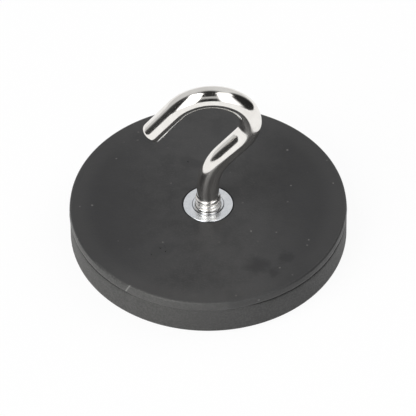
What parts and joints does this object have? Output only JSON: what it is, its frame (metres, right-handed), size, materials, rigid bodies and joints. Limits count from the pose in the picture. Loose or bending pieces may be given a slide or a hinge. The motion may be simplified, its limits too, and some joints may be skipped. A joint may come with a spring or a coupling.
{
  "type": "pot magnet with hook",
  "caption": "Round flat pot magnet in a black rubber jacket, with a flush threaded bush in its back and a bent wire hook screwed into the bush for hanging things.",
  "frame": {"origin": "centre of the magnetic face, which is the lowest plane of the object", "axes": "+Z out of the back of the magnet, up the hook's stem; the hook lies in the XZ plane and opens towards -X"},
  "size_m": [0.043, 0.043, 0.0312],
  "materials": {
    "black_rubber": "matt moulded",
    "zinc_plated_steel": "turned and bright zinc plated",
    "nickel_plated_wire": "bright nickel plated",
    "bare_steel": "stamped",
    "nickel_plated_magnet": "satin nickel plated"
  },
  "bodies": {
    "root": {"rubber_jacket": "black_rubber", "threaded_bush": "zinc_plated_steel", "hook": "nickel_plated_wire", "steel_plate": "bare_steel", "magnet_1": "nickel_plated_magnet", "magnet_2": "nickel_plated_magnet", "magnet_3": "nickel_plated_magnet", "magnet_4": "nickel_plated_magnet", "magnet_5": "nickel_plated_magnet", "magnet_6": "nickel_plated_magnet"}
  },
  "joints": []
}
